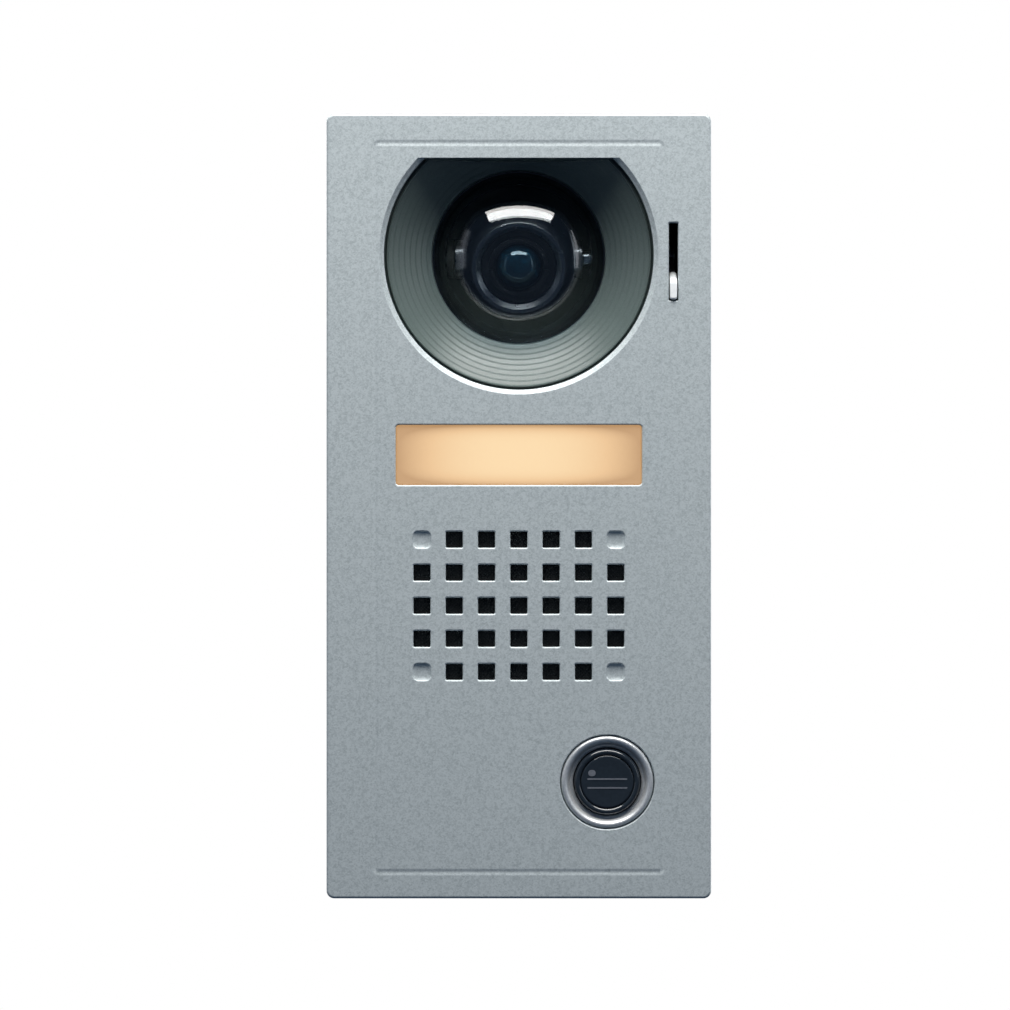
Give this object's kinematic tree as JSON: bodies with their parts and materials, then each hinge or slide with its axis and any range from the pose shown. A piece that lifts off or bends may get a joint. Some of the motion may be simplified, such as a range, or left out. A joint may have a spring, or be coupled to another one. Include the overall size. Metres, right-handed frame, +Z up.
{
  "type": "door intercom panel",
  "caption": "Wall-mounted metal door intercom with a tilting dome camera behind a stepped cone, a lit nameplate, a square-hole speaker grille and a round call button.",
  "frame": {"origin": "middle of the wall bracket's back face, which lies on the wall", "axes": "+Z up along the panel's height, +Y into the wall, the front faces -Y, +X to the right of someone who looks at the front"},
  "size_m": [0.1, 0.0425, 0.204],
  "materials": {
    "silver_paint": "speckled silver-grey metallic paint on die-cast zinc",
    "black_foam": "closed-cell foam strip",
    "zinc_steel": "zinc-plated steel",
    "black_abs": "moulded black plastic",
    "bezel_grey": "satin grey metallic paint on a turned-looking stepped cone",
    "clear_dome": "clear polycarbonate dome",
    "black_rubber": "smooth black rubber",
    "washer_brown": "pressed fibre, graphited nearly black",
    "ribbon": "flat flexible cable with a black coverlay",
    "lit_pane": "frosted pane lit from behind",
    "white_card": "blank translucent name card",
    "white_plastic": "moulded white plastic",
    "green_board": "glass-fibre circuit board, green mask",
    "black_cloth": "fine black dust cloth",
    "cone_paper": "black pressed paper",
    "ferrite": "sintered ferrite",
    "chrome_ring": "polished chrome",
    "gloss_black": "glossy black moulding",
    "lens_glass": "coated lens glass",
    "mic_can": "drawn aluminium can"
  },
  "bodies": {
    "housing": {"front_housing": "silver_paint", "perimeter_gasket": "black_foam", "wall_bracket": "zinc_steel", "security_screw": "zinc_steel", "rear_cover": "black_abs", "rear_cover_screw_1": "zinc_steel", "rear_cover_screw_2": "zinc_steel", "rear_cover_screw_3": "zinc_steel", "rear_cover_screw_4": "zinc_steel", "camera_bezel": "bezel_grey", "dome_window": "clear_dome", "dome_gasket": "black_rubber", "camera_cradle": "black_abs", "cradle_screw_1": "zinc_steel", "cradle_screw_2": "zinc_steel", "tilt_friction_washer": "washer_brown", "camera_cable": "ribbon", "nameplate_window": "lit_pane", "name_card": "white_card", "light_guide": "lit_pane", "backlight_reflector": "white_plastic", "backlight_board": "green_board", "backlight_led_1": "white_plastic", "backlight_led_2": "white_plastic", "grille_screen": "black_cloth", "speaker_gasket": "black_foam", "speaker_basket": "zinc_steel", "speaker_cone": "cone_paper", "speaker_magnet": "ferrite", "speaker_yoke": "zinc_steel", "speaker_clamp": "zinc_steel", "clamp_screw_1": "zinc_steel", "clamp_screw_2": "zinc_steel", "speaker_lead": "black_rubber", "button_bezel": "chrome_ring", "button_spring": "zinc_steel", "button_nut": "zinc_steel", "switch_board": "green_board", "call_switch": "black_abs", "main_board": "green_board", "main_processor": "black_abs", "audio_transformer": "ferrite", "board_screw_1": "zinc_steel", "board_screw_2": "zinc_steel", "terminal_block": "black_abs", "terminal_screw_1": "zinc_steel", "terminal_screw_2": "zinc_steel", "microphone": "mic_can", "microphone_boot": "black_rubber"},
    "camera": {"camera_ball": "gloss_black", "tilt_shaft": "zinc_steel", "tilt_lever": "zinc_steel", "tilt_lever_knob": "white_plastic", "lens_barrel": "gloss_black", "lens_front_element": "lens_glass", "lens_retaining_ring": "gloss_black", "image_sensor": "gloss_black", "image_sensor_board": "green_board"},
    "call_button": {"button_cap": "gloss_black", "button_icon": "gloss_black"}
  },
  "joints": [
    {"name": "camera_tilt", "type": "hinge", "parent": "housing", "child": "camera", "pos_m": [0, -0.018, 0.0654], "axis": [-1, 0, 0], "range_deg": [0, 35], "deforming": ["camera_cable"]},
    {"name": "call_button_press", "type": "slide", "parent": "housing", "child": "call_button", "axis": [0, 1, 0], "range_m": [0, 0.0014], "stiffness_N_per_m": 800, "springref_m": -0.001, "deforming": ["button_spring"]}
  ]
}
